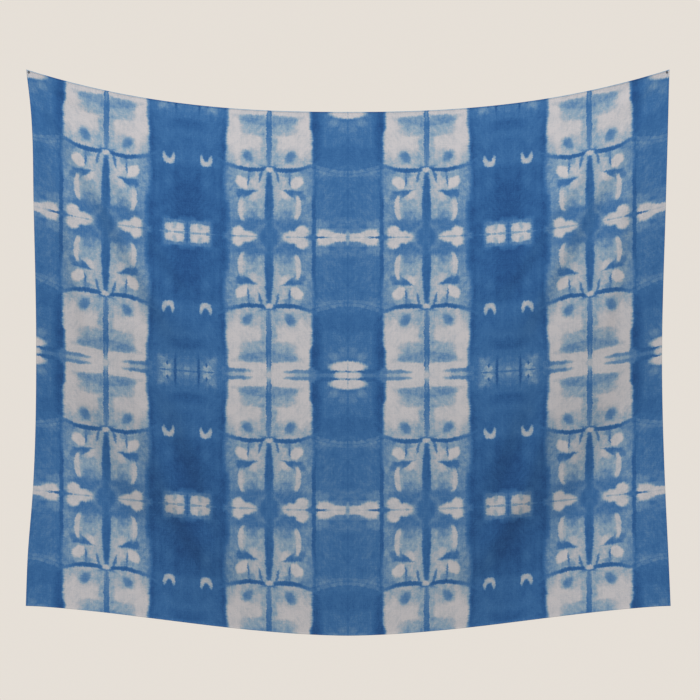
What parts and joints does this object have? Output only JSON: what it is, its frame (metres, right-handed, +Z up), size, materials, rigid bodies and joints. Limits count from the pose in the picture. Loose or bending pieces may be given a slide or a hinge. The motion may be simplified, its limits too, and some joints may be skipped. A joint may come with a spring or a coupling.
{
  "type": "shibori dyed cloth on wall pins",
  "caption": "Rectangular wall hanging of dyed cloth that sags between its pinned top corners, its slack falling in a shallow swag with diagonal creases.",
  "frame": {"origin": "midway between the two top corners of the cloth, in the plane of the wall", "axes": "+X along the top edge, to the right as seen from the room; +Y into the wall; +Z up"},
  "size_m": [1.5076, 0.1082, 1.3259],
  "materials": {
    "dyed_cloth": "plain weave, dyed in a folded repeat of blue and undyed grey white",
    "pin_metal": "dark grey, satin"
  },
  "bodies": {
    "root": {"cloth": "dyed_cloth", "pin_left": "pin_metal", "pin_right": "pin_metal"}
  },
  "joints": []
}
